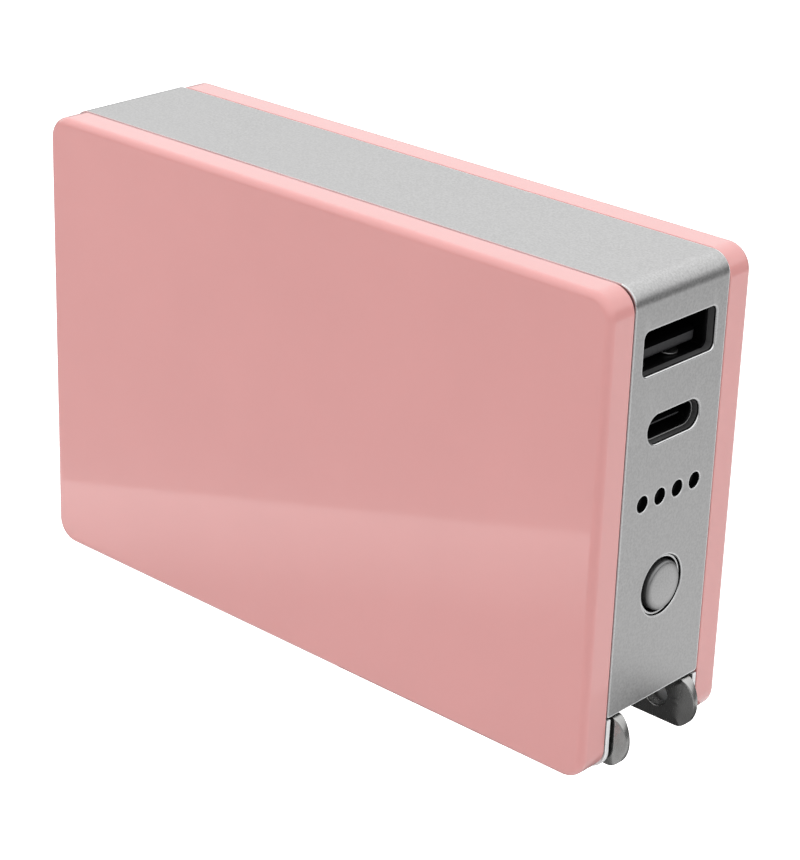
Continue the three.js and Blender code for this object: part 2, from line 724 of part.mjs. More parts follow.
const powerBank = group(enclosure, plug, ports, electronics, wires);
powerBank.name = "power_bank";

export default powerBank;
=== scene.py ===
"""Pocket charger with plug blades: two glossy covers either side of a satin metal band.

X runs right, to the end panel with the button, lights and USB ports. The front cover faces -Y
and Z is up. The plug bay is at the lower right. Sizes are in mm unless a comment says metres.
"""
import json
import math

import bmesh
import bpy
from mathutils import Matrix, Vector


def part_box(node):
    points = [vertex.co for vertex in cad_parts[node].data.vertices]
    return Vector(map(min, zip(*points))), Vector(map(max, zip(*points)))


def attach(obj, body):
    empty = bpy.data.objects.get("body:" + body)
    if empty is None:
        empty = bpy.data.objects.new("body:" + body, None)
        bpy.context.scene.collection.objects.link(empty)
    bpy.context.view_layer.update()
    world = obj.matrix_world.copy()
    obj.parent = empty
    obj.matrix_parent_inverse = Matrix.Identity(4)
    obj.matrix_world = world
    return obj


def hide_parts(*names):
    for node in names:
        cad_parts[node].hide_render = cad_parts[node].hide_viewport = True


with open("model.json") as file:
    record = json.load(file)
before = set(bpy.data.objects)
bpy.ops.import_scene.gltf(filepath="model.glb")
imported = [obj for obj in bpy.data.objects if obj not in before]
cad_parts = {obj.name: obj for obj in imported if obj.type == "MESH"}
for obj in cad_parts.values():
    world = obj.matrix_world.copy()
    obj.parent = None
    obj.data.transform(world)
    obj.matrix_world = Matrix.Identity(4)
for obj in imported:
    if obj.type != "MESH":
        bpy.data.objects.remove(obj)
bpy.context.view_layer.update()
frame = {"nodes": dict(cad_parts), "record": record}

MM = 0.001


def box_mm(node):
    low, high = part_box(node)
    return [v / MM for v in low], [v / MM for v in high]


def middle(low, high, axis):
    return (low[axis] + high[axis]) / 2


# ------------------------------------------------------------------ driving sizes
FRONT_LO, FRONT_HI = box_mm("front_shell")
BACK_Y = box_mm("back_shell")[1][1]
BAND_HALF = box_mm("middle_frame")[1][1]  # half width of the metal band
BAY_X = box_mm("plug_bay")[0][0]  # left end of the plug bay
LEFT, RIGHT = FRONT_LO[0], FRONT_HI[0]
BOTTOM, TOP = FRONT_LO[2], FRONT_HI[2]
FRONT_Y = FRONT_LO[1]

SEAM_Y = 8.48  # the covers start this far from the middle plane
SHELL_R, SHELL_EDGE = 3.0, 1.0  # side outline corners, rounding of the outer edge
BAND_R, BAND_T = 2.4, 1.25
PANEL_Z = 6.82  # lower end of the end panel

BUTTON_LO, BUTTON_HI = box_mm("power_button")
BUTTON_Z = middle(BUTTON_LO, BUTTON_HI, 2)
CAP_R = 2.95

LIGHTS = []  # y, z, inner x, outer x
for number in (1, 2, 3, 4):
    low, high = box_mm(f"led_window_{number}")
    LIGHTS.append((middle(low, high, 1), middle(low, high, 2), low[0], high[0]))

USB_A_LO, USB_A_HI = box_mm("usb_a_shell")
USB_C_LO, USB_C_HI = box_mm("usb_c_shell")
USB_A_Z = middle(USB_A_LO, USB_A_HI, 2)
USB_C_Z = middle(USB_C_LO, USB_C_HI, 2)


# ------------------------------------------------------------------ outlines and profiles
def arc(x, y, radius, start, end, steps):
    """Points round a centre, from one angle to the other in degrees."""
    angles = [math.radians(start + (end - start) * i / steps) for i in range(steps + 1)]
    return [(x + radius * math.cos(a), y + radius * math.sin(a)) for a in angles]


def round_rect(x0, y0, x1, y1, radius, steps):
    """Counter-clockwise outline."""
    return (
        arc(x1 - radius, y0 + radius, radius, -90, 0, steps)
        + arc(x1 - radius, y1 - radius, radius, 0, 90, steps)
        + arc(x0 + radius, y1 - radius, radius, 90, 180, steps)
        + arc(x0 + radius, y0 + radius, radius, 180, 270, steps)
    )


def circle(x, y, radius, count):
    turns = [2 * math.pi * i / count for i in range(count)]
    return [(x + radius * math.cos(a), y + radius * math.sin(a)) for a in turns]


def clean(loop, gap=1e-5):
    """The loop without repeated points."""
    kept = []
    for point in loop:
        if not kept or math.dist(point, kept[-1]) > gap:
            kept.append(point)
    if math.dist(kept[0], kept[-1]) < gap:
        kept.pop()
    return kept


def inward(loop):
    """Mitre vectors to the left of travel, scaled so an offset keeps parallel edges."""
    mitres = []
    for i, point in enumerate(loop):
        before, here, after = Vector(loop[i - 1]), Vector(point), Vector(loop[(i + 1) % len(loop)])
        dir_in, dir_out = (here - before).normalized(), (after - here).normalized()
        normal = Vector((-dir_in.y, dir_in.x))
        mitre = normal + Vector((-dir_out.y, dir_out.x))
        if mitre.length < 1e-6:
            mitre = normal.copy()
        mitre.normalize()
        mitres.append(mitre / max(0.35, mitre.dot(normal)))
    return mitres


def fillet(before, corner, after, radius, steps):
    """Points that round a corner of a profile."""
    start, corner, end = Vector(before), Vector(corner), Vector(after)
    to_start, to_end = (start - corner).normalized(), (end - corner).normalized()
    half = math.acos(max(-1, min(1, to_start.dot(to_end)))) / 2
    reach = min(
        radius / math.tan(half), (start - corner).length * 0.49, (end - corner).length * 0.49
    )
    radius = reach * math.tan(half)
    centre = corner + (to_start + to_end).normalized() * (radius / math.sin(half))
    first = corner + to_start * reach - centre
    last = corner + to_end * reach - centre
    angle = math.acos(max(-1, min(1, first.normalized().dot(last.normalized()))))
    points = []
    for i in range(steps + 1):
        t = i / steps
        spoke = (
            first * math.sin((1 - t) * angle) + last * math.sin(t * angle)
        ) / math.sin(angle)
        points.append(tuple(centre + spoke))
    return points


def rounded(profile, radii):
    """Profile with inner corner i rounded by radii[i]; other corners stay sharp."""
    points = []
    for i, point in enumerate(profile):
        if i in radii:
            points += fillet(profile[i - 1], point, profile[i + 1], radii[i], 3)
        else:
            points.append(point)
    return points


def dome(radius, base, tip, steps):
    """Profile from the rim (radius, base), which is left out, to the axis at height tip."""
    return [
        (radius * (1 - i / steps), base + (tip - base) * (1 - (1 - i / steps) ** 2))
        for i in range(1, steps + 1)
    ]


# ------------------------------------------------------------------ mesh helpers
ALONG_X, ALONG_Z = (1, 0, 0), (0, 0, 1)


def skin(mesh, ring, following):
    """Quads between two closed rings of vertices."""
    count = len(ring)
    quads = []
    for i in range(count):
        j = (i + 1) % count
        quads.append(mesh.faces.new((ring[i], ring[j], following[j], following[i])))
    return quads


def plate(loops, thickness, r_top, r_bottom, seg, walls=None, top_radii=None):
    """A flat plate from z=-thickness to z=0 with rounded edges on every outline.

    The first loop is the outline, the others are holes. walls gives a loop's wall bands from
    the top down as (depth, material index); top_radii replaces r_top for single loops.
    """
    walls, top_radii = walls or {}, top_radii or {}
    turns = [math.radians(90 * i / seg) for i in range(seg + 1)]
    mesh = bmesh.new()
    tops, bottoms = [], []
    for k, loop in enumerate(loops):
        loop = clean(loop)
        area = sum(a[0] * b[1] - b[0] * a[1] for a, b in zip(loop, loop[1:] + loop[:1]))
        if (area > 0) != (k == 0):
            loop = loop[::-1]
        mitres = inward(loop)
        radius = top_radii.get(k, r_top)
        bands = walls.get(k, ())
        profile = [(radius * (1 - math.sin(a)), -radius * (1 - math.cos(a))) for a in turns]
        profile += [(0.0, -depth) for depth, _ in bands[:-1]]
        profile += [
            (r_bottom * (1 - math.cos(a)), -thickness + r_bottom * (1 - math.sin(a)))
            for a in turns
        ]
        rings = [
            [mesh.verts.new((p[0] + m.x * d, p[1] + m.y * d, z)) for p, m in zip(loop, mitres)]
            for d, z in profile
        ]
        count = len(loop)
        for step, (upper, lower) in enumerate(zip(rings, rings[1:])):
            index = 0
            if bands and step >= seg:
                index = bands[min(step - seg, len(bands) - 1)][1]
            for i in range(count):
                j = (i + 1) % count
                face = mesh.faces.new((upper[i], lower[i], lower[j], upper[j]))
                face.material_index = index
        tops.append(rings[0])
        bottoms.append(rings[-1])
    for group in (tops, bottoms):
        if len(group) == 1:
            mesh.faces.new(group[0])
            continue
        edges = [
            mesh.edges.get((ring[i], ring[(i + 1) % len(ring)]))
            for ring in group for i in range(len(ring))
        ]
        bmesh.ops.triangle_fill(mesh, use_beauty=True, use_dissolve=False, edges=edges)
    return mesh


def lathe(profile, count):
    """Body of revolution about Z from (radius, height) points.

    A profile that starts off the axis closes on itself.
    """
    mesh = bmesh.new()
    turns = [2 * math.pi * i / count for i in range(count)]
    rings = []
    for r, h in profile:
        if r < 1e-7:
            rings.append([mesh.verts.new((0, 0, h))])
        else:
            rings.append([mesh.verts.new((r * math.cos(a), r * math.sin(a), h)) for a in turns])
    closing = rings[:1] if len(rings[0]) > 1 else []
    for lower, upper in zip(rings, rings[1:] + closing):
        if len(lower) > 1 and len(upper) > 1:
            skin(mesh, lower, upper)
            continue
        for i in range(count):
            j = (i + 1) % count
            if len(lower) == 1:
                mesh.faces.new((lower[0], upper[j], upper[i]))
            else:
                mesh.faces.new((lower[i], lower[j], upper[0]))
    return mesh


def cut(mesh, axis, at):
    """Extra edges where the plane square to the axis crosses the mesh."""
    geom = mesh.verts[:] + mesh.edges[:] + mesh.faces[:]
    point = [at * c for c in axis]
    bmesh.ops.bisect_plane(mesh, geom=geom, dist=1e-6, plane_co=point, plane_no=axis)


def paint(mesh, test):
    """Second material on the faces whose centre passes the test, first on the rest."""
    for face in mesh.faces:
        face.material_index = 1 if test(face.calc_center_median()) else 0


def bend(mesh, move):
    for vert in mesh.verts:
        vert.co = Vector(move(*vert.co))


def aim_right(mesh, y, z, x=0.0):
    """Turn local Z to +X and shift the origin to (x, y, z)."""
    bend(mesh, lambda a, b, c: (x + c, y + a, z + b))


def link(obj):
    bpy.context.scene.collection.objects.link(obj)
    return obj


replaced = set()  # frame nodes that have a detailed piece


def part(name, mesh, body, slot, sharp, node=None, materials=None):
    """Finished object from a bmesh in mm; its materials default to the slot's own."""
    bmesh.ops.scale(mesh, vec=(MM, MM, MM), verts=mesh.verts)
    bmesh.ops.recalc_face_normals(mesh, faces=mesh.faces)
    data = bpy.data.meshes.new(name)
    mesh.to_mesh(data)
    mesh.free()
    data.shade_smooth()
    data.set_sharp_from_angle(angle=math.radians(sharp))
    obj = link(bpy.data.objects.new(name, data))
    normals = obj.modifiers.new("normals", "WEIGHTED_NORMAL")
    normals.mode = "FACE_AREA"
    normals.weight = 50
    normals.keep_sharp = True
    for material in materials or (slot,):
        data.materials.append(MAT[material])
    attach(obj, body)
    if node:
        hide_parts(node)
        replaced.add(node)


def refine(name, node, body, slot, bevel, seg):
    """The CAD node's own form with coplanar facets merged and sharp edges rounded."""
    mesh = bmesh.new()
    mesh.from_mesh(frame["nodes"][node].data)
    bmesh.ops.scale(mesh, vec=(1000, 1000, 1000), verts=mesh.verts)
    bmesh.ops.remove_doubles(mesh, verts=mesh.verts, dist=1e-3)
    flat = math.radians(1.0)
    bmesh.ops.dissolve_limit(mesh, angle_limit=flat, verts=mesh.verts, edges=mesh.edges)
    edges = [
        e for e in mesh.edges
        if len(e.link_faces) == 2 and e.calc_face_angle(0) > math.radians(28)
    ]
    bmesh.ops.bevel(
        mesh, geom=edges, offset=bevel, offset_type="OFFSET", segments=seg, profile=0.5,
        affect="EDGES", clamp_overlap=True,
    )
    bmesh.ops.triangulate(mesh, faces=[f for f in mesh.faces if len(f.verts) > 4])
    part(name, mesh, body, slot, 40, node)


# ------------------------------------------------------------------ shader graphs
def is_socket(value):
    return isinstance(value, bpy.types.NodeSocket)


class Graph:
    """Short calls for building a node tree; every value may be a number or a socket."""

    def __init__(self, tree):
        self.tree = tree

    def feed(self, socket, value):
        if is_socket(value):
            self.tree.links.new(value, socket)
        else:
            socket.default_value = value

    def add(self, kind, inputs=None, **settings):
        node = self.tree.nodes.new("ShaderNode" + kind)
        for key, value in settings.items():
            setattr(node, key, value)
        for key, value in (inputs or {}).items():
            self.feed(node.inputs[key], value)
        return node

    def coords(self, stretch=(1, 1, 1)):
        vector = self.add("TexCoord").outputs["Object"]
        return self.add("Mapping", {"Scale": stretch, "Vector": vector}).outputs["Vector"]

    def noise(self, vector, size, detail=3.0, rough=0.5):
        """Noise with features of about size mm."""
        inputs = {"Scale": 1000.0 / size, "Detail": detail, "Roughness": rough, "Vector": vector}
        return self.add("TexNoise", inputs).outputs["Fac"]

    def cells(self, vector, size, **settings):
        inputs = {"Scale": 1000 / size, "Vector": vector}
        return self.add("TexVoronoi", inputs, **settings).outputs["Distance"]

    def remap(self, value, start, end, low=0.0, high=1.0, shape="LINEAR"):
        inputs = {
            "From Min": start, "From Max": end, "To Min": low, "To Max": high, "Value": value
        }
        return self.add("MapRange", inputs, interpolation_type=shape).outputs["Result"]

    def spread(self, noise, low=0.0, high=1.0):
        """The middle range of a noise stretched to low..high."""
        return self.remap(noise, 0.3, 0.7, low, high)

    def mix(self, factor, first, second):
        first, second = (c if is_socket(c) else (*c, 1) for c in (first, second))
        return self.add("Mix", {0: factor, 6: first, 7: second}, data_type="RGBA").outputs[2]

    def calc(self, operation, a, b=None, clamp=False):
        inputs = {0: a} if b is None else {0: a, 1: b}
        return self.add("Math", inputs, operation=operation, use_clamp=clamp).outputs[0]

    def split(self, vector):
        return self.add("SeparateXYZ", {0: vector}).outputs

    def edges(self, radius, start=0.02, end=0.25):
        """1 along edges, 0 on flats: the true normal against one rounded over radius mm."""
        soft = self.add("Bevel", {"Radius": radius * MM}, samples=4).outputs["Normal"]
        true = self.add("NewGeometry").outputs["Normal"]
        match = self.add("VectorMath", {0: soft, 1: true}, operation="DOT_PRODUCT")
        return self.remap(self.calc("SUBTRACT", 1.0, match.outputs["Value"]), start, end)


class Surface(Graph):
    """The graph of a material round its Principled shader."""

    def __init__(self, material):
        super().__init__(material.node_tree)
        self.material = material
        self.shader = self.tree.nodes["Principled BSDF"]

    def set(self, **inputs):
        """Shader inputs, with _ for the spaces in their names."""
        for key, value in inputs.items():
            self.feed(self.shader.inputs[key.replace("_", " ")], value)

    def bump(self, height, strength, depth, into="Normal"):
        inputs = {"Strength": strength, "Distance": depth * MM, "Height": height}
        self.feed(self.shader.inputs[into], self.add("Bump", inputs).outputs["Normal"])


def new_surface(name, base, rough, metal=0.0):
    material = bpy.data.materials.new(name)
    material.use_nodes = True
    material.diffuse_color = (*base, 1)
    surface = Surface(material)
    surface.set(Base_Color=(*base, 1), Roughness=rough, Metallic=metal)
    return surface


def tint(base, gain):
    return tuple(max(0.0, min(1.0, c * gain)) for c in base)


# ------------------------------------------------------------------ materials
def plain(name, base, rough, metal, grain, swing, relief, edge,
          stretch=(1, 1, 1), spec=None, coat=0.0, painted_shade_reach=0.0):
    """Moulded or rolled surface: mottled tone, fine grain, edges a little lighter as a painted
    highlight.
    """
    s = new_surface(name, base, rough, metal)
    vector = s.coords(stretch)
    mottle = s.noise(vector, size=6.0, detail=2)
    fine = s.noise(vector, size=grain, detail=4, rough=0.6)
    colour = s.mix(s.spread(mottle), tint(base, 1 - swing), tint(base, 1 + swing))
    # painted highlight: edges lighter by the edge gain
    colour = s.mix(s.edges(radius=0.12), colour, tint(base, edge))
    # painted shade: darker where ambient occlusion finds surfaces close by
    if painted_shade_reach:
        occlusion = s.add("AmbientOcclusion", {"Distance": painted_shade_reach * MM}, samples=6)
        openness = s.remap(occlusion.outputs["AO"], start=0.18, end=0.6)
        colour = s.mix(openness, tint(base, 0.1), colour)
    roughness = s.spread(fine, low=max(0.02, rough * 0.82), high=min(1.0, rough * 1.2))
    s.set(Base_Color=colour, Roughness=roughness)
    s.bump(fine, strength=0.5, depth=relief)
    if spec is not None:
        s.set(Specular_IOR_Level=spec)
    if coat:
        s.set(Coat_Weight=coat, Coat_Roughness=0.05)
    return s.material


def pink_gloss():
    """Moulded skin under a clear coat: faint orange peel and fine scratches in the gloss."""
    base = (0.64, 0.285, 0.275)
    s = new_surface("pink_gloss", base, rough=0.2)
    vector = s.coords()
    cloud = s.noise(vector, size=18.0, detail=2)
    peel = s.noise(vector, size=1.6, detail=2, rough=0.4)
    grain = s.noise(vector, size=0.12, detail=3, rough=0.6)
    scratch = s.noise(s.coords((0.12, 1.0, 1.0)), size=0.28, detail=5, rough=0.7)
    s.bump(grain, strength=0.12, depth=0.01)
    s.bump(peel, strength=0.15, depth=0.008, into="Coat Normal")
    s.set(
        Base_Color=s.mix(s.spread(cloud), tint(base, 0.985), tint(base, 1.015)),
        Roughness=s.remap(scratch, start=0.3, end=0.8, low=0.22, high=0.27),
        Specular_IOR_Level=0.5,
        Coat_Weight=0.85,
        Coat_IOR=1.56,
        Coat_Roughness=s.remap(scratch, start=0.3, end=0.8, low=0.045, high=0.065),
        Subsurface_Weight=0.06,
        Subsurface_Radius=(1.0, 0.45, 0.4),
        Subsurface_Scale=0.0006,
    )
    return s.material


def satin_metal():
    """Bead-blasted skin: crisp sparkle grain, a soft cloud, and edges painted near white as a
    painted highlight on partly bright-cut edges.
    """
    base = (0.5, 0.499, 0.499)
    s = new_surface("satin_metal", base, rough=0.36, metal=1.0)
    vector = s.coords()
    grain = s.noise(vector, size=0.26, detail=2, rough=0.6)
    cloud = s.noise(vector, size=9.0, detail=3)
    edges = s.edges(radius=0.3, start=0.003, end=0.03)
    sparkle = s.remap(grain, start=0.36, end=0.64)
    colour = s.mix(sparkle, tint(base, 0.87), tint(base, 1.13))
    colour = s.mix(s.calc("MULTIPLY", s.spread(cloud), 0.25), colour, tint(base, 1.05))
    # painted highlight: near-white and smoother along the edges
    colour = s.mix(edges, colour, (0.93, 0.94, 0.945))
    rough = s.spread(grain, low=0.3, high=0.42)
    rough = s.calc("SUBTRACT", rough, s.calc("MULTIPLY", edges, 0.16))
    s.set(Base_Color=colour, Roughness=rough)
    s.bump(grain, strength=0.3, depth=0.014)
    return s.material


def cap_satin(satin):
    """The satin finish with painted shade: darker and duller towards the button's rolled edge."""
    material = satin.copy()
    material.name = "cap_satin"
    s = Surface(material)
    position = s.split(s.add("TexCoord").outputs["Object"])
    y, z = position[1], s.calc("SUBTRACT", position[2], BUTTON_Z * MM)
    square = s.calc("ADD", s.calc("MULTIPLY", y, y), s.calc("MULTIPLY", z, z))
    rim = s.remap(s.calc("SQRT", square), start=2.0 * MM, end=CAP_R * MM)
    rim = s.calc("MULTIPLY", rim, rim)
    colour, rough = (
        s.shader.inputs[key].links[0].from_socket for key in ("Base Color", "Roughness")
    )
    s.set(
        # painted shade: the colour darkens towards the rim
        Base_Color=s.mix(rim, colour, (0.17, 0.17, 0.172)),
        Roughness=s.calc("ADD", rough, s.calc("MULTIPLY", rim, 0.2)),
    )
    return material


def drawn_metal(name, base, rough):
    """Plated sheet: draw lines along Z, dull spots and edges painted lighter as a painted
    highlight.
    """
    s = new_surface(name, base, rough, metal=1.0)
    draw = s.noise(s.coords((1.0, 1.0, 0.08)), size=0.2, detail=5, rough=0.7)
    spots = s.noise(s.coords(), size=1.8, detail=4, rough=0.6)
    spots = s.remap(spots, start=0.35, end=0.75)
    colour = s.mix(spots, base, tint(base, 0.8))
    lines = s.spread(draw, low=rough * 0.7, high=rough * 1.5)
    # painted highlight: edges 1.3 times lighter
    s.set(
        Base_Color=s.mix(s.edges(radius=0.12), colour, tint(base, 1.3)),
        Roughness=s.calc("ADD", lines, s.calc("MULTIPLY", spots, 0.06)),
    )
    s.bump(draw, strength=0.12, depth=0.006)
    return s.material


def board_green():
    """Circuit board with copper runs and vias showing through the mask."""
    base = (0.012, 0.085, 0.035)
    s = new_surface("board_green", base, rough=0.35)
    vector = s.coords()
    cells = s.cells(vector, size=2.2, distance="MANHATTAN", feature="F2")
    runs = s.remap(cells, start=0.45, end=0.5)
    weave = s.noise(vector, size=0.3, detail=3)
    s.set(
        Base_Color=s.mix(runs, base, (0.02, 0.15, 0.06)),
        Roughness=s.spread(weave, low=0.28, high=0.45),
        Coat_Weight=0.3,
    )
    s.bump(runs, strength=0.4, depth=0.03)
    return s.material


def foam_grey():
    base = (0.06, 0.062, 0.068)
    s = new_surface("foam_grey", base, rough=0.95)
    pores = s.remap(s.cells(s.coords(), size=0.35), start=0.1, end=0.6)
    s.set(Base_Color=s.mix(pores, tint(base, 0.5), tint(base, 1.6)))
    s.bump(pores, strength=0.8, depth=0.08)
    return s.material


def floor_paper():
    """White paper that also glows a little for the camera."""
    s = new_surface("floor_paper", (0.9, 0.9, 0.9), rough=0.85)
    fibre = s.noise(s.coords(), size=3.0, detail=4)
    seen = s.add("LightPath").outputs["Is Camera Ray"]
    s.set(
        Base_Color=s.mix(s.spread(fibre), (0.89, 0.89, 0.89), (0.91, 0.91, 0.91)),
        Emission_Color=(1, 1, 1, 1),
        Emission_Strength=s.calc("MULTIPLY", seen, 0.75),
    )
    s.bump(fibre, strength=0.1, depth=0.02)
    return s.material


LENGTHWISE = {"stretch": (0.1, 1, 1)}
# name, colour, roughness, metallic, grain size, tone swing, relief depth, edge gain (painted
# highlight), extras
PLAIN = [
    # white plastic: painted shade in its hollows, reaching 2.6 mm
    ("white_plastic", (0.76, 0.765, 0.77), 0.42, 0, 0.2, 0.02, 0.015, 1.1, {"painted_shade_reach": 2.6}),
    ("black_plastic", (0.022, 0.022, 0.024), 0.48, 0, 0.12, 0.15, 0.02, 1.8, {}),
    ("dark_lens", (0.0012, 0.0012, 0.0013), 0.4, 0, 0.5, 0.1, 0.004, 1.6, {"spec": 0.05}),
    ("spring_bronze", (0.55, 0.33, 0.14), 0.3, 1, 0.25, 0.08, 0.02, 1.18, LENGTHWISE),
    ("gold", (0.78, 0.55, 0.2), 0.22, 1, 0.2, 0.08, 0.02, 1.18, LENGTHWISE),
    ("ferrite", (0.035, 0.037, 0.04), 0.62, 0.2, 0.2, 0.25, 0.05, 1.7, {}),
    ("tape_yellow", (0.62, 0.42, 0.04), 0.35, 0, 0.5, 0.12, 0.04, 1.18,
     {"stretch": (6, 0.4, 0.4)}),
    ("can_blue", (0.02, 0.035, 0.11), 0.32, 0, 0.5, 0.1, 0.02, 1.18, {"coat": 0.4}),
    ("chip_black", (0.018, 0.018, 0.019), 0.6, 0, 0.08, 0.2, 0.02, 1.6, {}),
    ("fuse_tan", (0.42, 0.24, 0.1), 0.4, 0, 0.3, 0.12, 0.02, 1.18, {}),
    ("pouch", (0.5, 0.52, 0.54), 0.38, 1, 0.8, 0.08, 0.05, 1.18, {}),
    ("sheet_amber", (0.5, 0.23, 0.03), 0.3, 0, 0.6, 0.08, 0.01, 1.18, {"coat": 0.3}),
    ("led_white", (0.8, 0.74, 0.5), 0.35, 0, 0.1, 0.05, 0.02, 1.18, {}),
    ("wire_red", (0.42, 0.015, 0.012), 0.42, 0, 0.2, 0.08, 0.01, 1.18, {}),
    ("wire_black", (0.015, 0.015, 0.016), 0.42, 0, 0.2, 0.08, 0.01, 1.18, {}),
    ("wire_blue", (0.015, 0.05, 0.28), 0.42, 0, 0.2, 0.08, 0.01, 1.18, {}),
    # near-black painted shade for hole walls and the button's sunken part
    ("black_recess", (0.0025, 0.0025, 0.0026), 0.8, 0, 0.15, 0.15, 0.02, 1.2, {"spec": 0.02}),
    # dark grey painted shade for the port hole walls
    ("cut_wall", (0.078, 0.078, 0.079), 0.5, 0, 0.2, 0.3, 0.03, 1.3,
     {"spec": 0.5, "stretch": (3, 0.6, 0.6)}),
    # painted shade tinted pink, as the shell reflected in the shaded seam
    ("band_cut_edge", (0.52, 0.34, 0.34), 0.6, 0, 0.2, 0.1, 0.01, 1.1, {"spec": 0.2}),
    # matte near-white painted highlight for thin edge strips
    ("band_bright_edge", (0.8, 0.82, 0.82), 0.7, 0, 0.2, 0.06, 0.01, 1.05, {"spec": 0.3}),
    # light matte grey painted highlight for the USB-C lip
    ("rim_metal", (0.26, 0.26, 0.26), 0.9, 0, 0.1, 0.05, 0.005, 1.05, {}),
    # near-black painted shade for the tongues' upper parts
    ("tongue_top", (0.0015, 0.0015, 0.0016), 0.9, 0, 0.15, 0.15, 0.01, 1.1, {"spec": 0.0}),
]
# name, colour, roughness
DRAWN = [
    ("nickel", (0.5, 0.497, 0.49), 0.2),
    ("steel", (0.5, 0.505, 0.51), 0.28),
    # near-black metal as painted shade inside the ports
    ("port_metal", (0.02, 0.02, 0.021), 0.45),
    ("latch_metal", (0.3, 0.3, 0.3), 0.3),
]
MAT = {make.__name__: make() for make in (pink_gloss, satin_metal, board_green, foam_grey)}
MAT["cap_satin"] = cap_satin(MAT["satin_metal"])
for *row, extras in PLAIN:
    MAT[row[0]] = plain(*row, **extras)
for row in DRAWN:
    MAT[row[0]] = drawn_metal(*row)


# ------------------------------------------------------------------ covers
LIP_END_Z = 13.2  # the locating lip is left out beside the plug bay, up to here


def side_outline(inset):
    """Side outline with matching points for every inset, and stations where the lip stops."""
    radius = SHELL_R - inset
    x0, x1, z0, z1 = LEFT + inset, RIGHT - inset, BOTTOM + inset, TOP - inset
    steps = 18
    points = [(BAY_X - 0.9, z0), (BAY_X - 0.7, z0)]
    points += arc(x1 - radius, z0 + radius, radius, -90, 0, steps)
    points += [(x1, LIP_END_Z), (x1, LIP_END_Z + 0.2)]
    points += arc(x1 - radius, z1 - radius, radius, 0, 90, steps)
    points += arc(x0 + radius, z1 - radius, radius, 90, 180, steps)
    points += arc(x0 + radius, z0 + radius, radius, 180, 270, steps)
    return points


BAY_STATIONS = range(1, 22)  # outline points from the bay's left end round to just above it


def cover_profile(depth):
    """Rows of (inset, distance below the face, on the lip?) from the face to the inside."""
    profile = [(SHELL_EDGE + 1.2, 0.0, False)]
    squareness = 2 / 2.12  # a little fuller than a plain quarter circle
    for i in range(11):
        a = math.radians(90 * i / 10)
        inset = SHELL_EDGE * (1 - math.sin(a) ** squareness)
        profile.append((inset, SHELL_EDGE * (1 - math.cos(a) ** squareness), False))
    rim = 0.12
    for i in range(5):
        a = math.radians(90 * i / 4)
        profile.append((rim * (1 - math.cos(a)), depth - rim + rim * math.sin(a), False))
    return profile + [
        (1.5, depth, False),
        (1.56, depth + 0.05, True),
        (1.56, depth + 1.1, True),
        (1.66, depth + 1.2, True),
        (2.4, depth + 1.2, True),
        (2.5, depth + 1.1, True),
        (2.5, depth, True),
        (2.5, depth - 0.6, False),
        (1.75, depth - 0.65, False),
        (1.75, 2.1, False),
        (1.9, 1.75, False),
        (2.3, 1.6, False),
    ]


def make_cover(name, node, side, face, overlap):
    """side is -1 for the front and 1 for the back; face is the distance to the outer face."""
    depth = face - SEAM_Y + overlap
    mesh = bmesh.new()
    rings = []
    for inset, below, on_lip in cover_profile(depth):
        ring = []
        for i, (x, z) in enumerate(side_outline(inset)):
            level = min(below, depth) if on_lip and i in BAY_STATIONS else below
            ring.append(mesh.verts.new((x, side * (face - level), z)))
        rings.append(ring)
    for ring, following in zip(rings, rings[1:]):
        skin(mesh, ring, following)
    mesh.faces.new(rings[0])
    mesh.faces.new(rings[-1][::-1])
    bmesh.ops.remove_doubles(mesh, verts=mesh.verts, dist=1e-4)
    bmesh.ops.dissolve_degenerate(mesh, dist=1e-4, edges=mesh.edges)
    part(name, mesh, "housing", "pink_gloss", 50, node)


make_cover("front_cover", "front_shell", side=-1, face=abs(FRONT_Y), overlap=0.0)
make_cover("back_cover", "back_shell", side=1, face=abs(BACK_Y), overlap=0.05)

# ------------------------------------------------------------------ metal band
# Cut flat, then wrapped round the side outline from the bay, clockwise seen from the front.
CORNER_LENGTH = math.pi * BAND_R / 2


def straight(start, along, outward, length):
    def point(distance, lift):
        return [s + a * distance + o * lift for s, a, o in zip(start, along, outward)]

    return length, point


def corner(x, z, from_angle):
    def point(distance, lift):
        a = math.radians(from_angle - 90 * distance / CORNER_LENGTH)
        radius = BAND_R + lift
        return x + radius * math.cos(a), z + radius * math.sin(a)

    return CORNER_LENGTH, point


BAND_X = BAY_X - 0.3
ARC_LEFT, ARC_RIGHT = LEFT + BAND_R, RIGHT - BAND_R  # corner centres
ARC_LOW, ARC_TOP = BOTTOM + BAND_R, TOP - BAND_R
RUNS = [
    straight((BAND_X, BOTTOM), (-1, 0), (0, -1), BAND_X - ARC_LEFT),
    corner(ARC_LEFT, ARC_LOW, 270),
    straight((LEFT, ARC_LOW), (0, 1), (-1, 0), TOP - BOTTOM - 2 * BAND_R),
    corner(ARC_LEFT, ARC_TOP, 180),
    straight((ARC_LEFT, TOP), (1, 0), (0, 1), RIGHT - LEFT - 2 * BAND_R),
    corner(ARC_RIGHT, ARC_TOP, 90),
    straight((RIGHT, ARC_TOP), (0, -1), (1, 0), ARC_TOP - PANEL_Z),
]
RUN_STARTS, band_length = [], 0.0
for length, _ in RUNS:
    RUN_STARTS.append(band_length)
    band_length += length


def wrap(along, across, lift):
    """Flat band coordinates to the part: along the outside, across in Y, lift outward."""
    run = 0
    if along > 0:
        run = max(i for i, start in enumerate(RUN_STARTS) if along >= start - 1e-9)
    x, z = RUNS[run][1](along - RUN_STARTS[run], lift)
    return x, across, z


